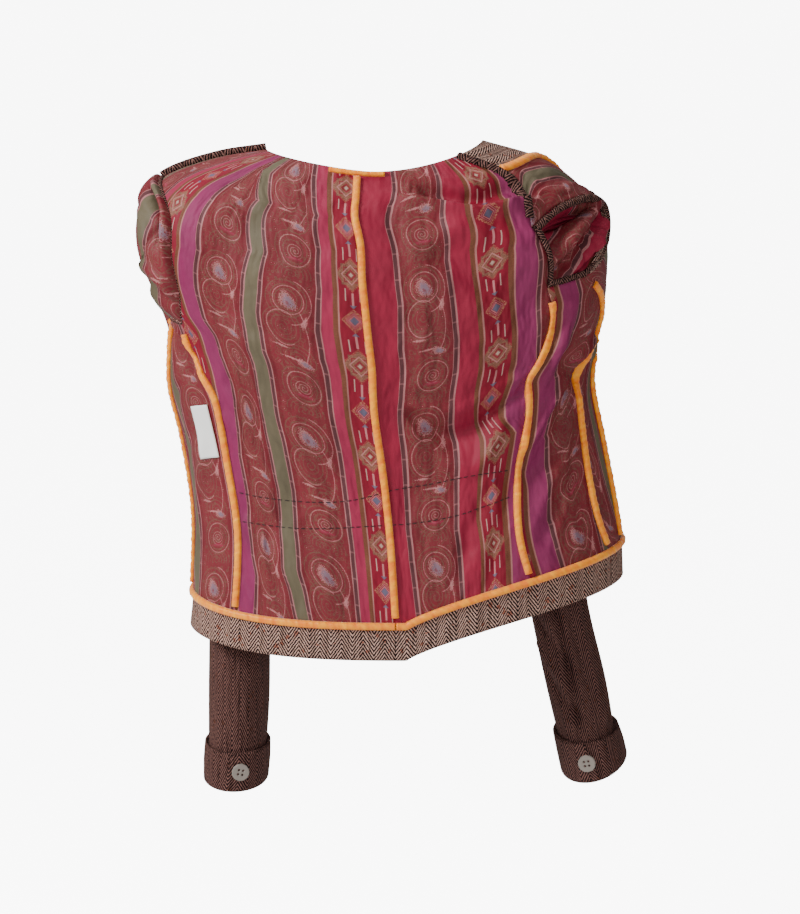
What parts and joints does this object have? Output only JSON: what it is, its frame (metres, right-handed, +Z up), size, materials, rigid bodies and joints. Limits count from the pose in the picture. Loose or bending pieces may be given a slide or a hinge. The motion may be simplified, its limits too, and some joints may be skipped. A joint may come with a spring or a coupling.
{
  "type": "blazer",
  "caption": "Cropped lined blazer worn inside out: striped lining outside, gold bound seams, tweed hem, sleeves hanging inside the body.",
  "frame": {"origin": "middle of the neck opening at the height of the shoulder seams' neck ends, where the wearer holds the garment up", "axes": "+Z up; -Y towards the garment's back; +X towards its right-hand side as seen from behind"},
  "size_m": [0.4899, 0.2234, 0.6484],
  "materials": {
    "lining": "woven striped paisley lining, faint sheen",
    "tweed": "brown and cream herringbone wool tweed, matt",
    "binding": "gold satin bias binding",
    "button": "grey pearl",
    "label": "white ribbon, bare"
  },
  "bodies": {
    "root": {"armhole_seam_left": "tweed", "armhole_seam_right": "tweed", "back_left": "lining", "back_right": "lining", "binding_centre_back": "binding", "binding_facing_left": "binding", "binding_facing_right": "binding", "binding_hem_left": "binding", "binding_hem_right": "binding", "binding_neck": "binding", "binding_princess_left": "binding", "binding_princess_right": "binding", "binding_side_left": "binding", "binding_side_right": "binding", "button_left": "button", "button_right": "button", "care_label": "label", "collar": "tweed", "cuff_left": "tweed", "cuff_right": "tweed", "facing_left": "tweed", "facing_right": "tweed", "front_left": "lining", "front_right": "lining", "hem_left": "tweed", "hem_right": "tweed", "shoulder_seam_left": "tweed", "shoulder_seam_right": "tweed", "side_left": "lining", "side_right": "lining", "sleeve_left": "tweed", "sleeve_right": "tweed"}
  },
  "joints": []
}
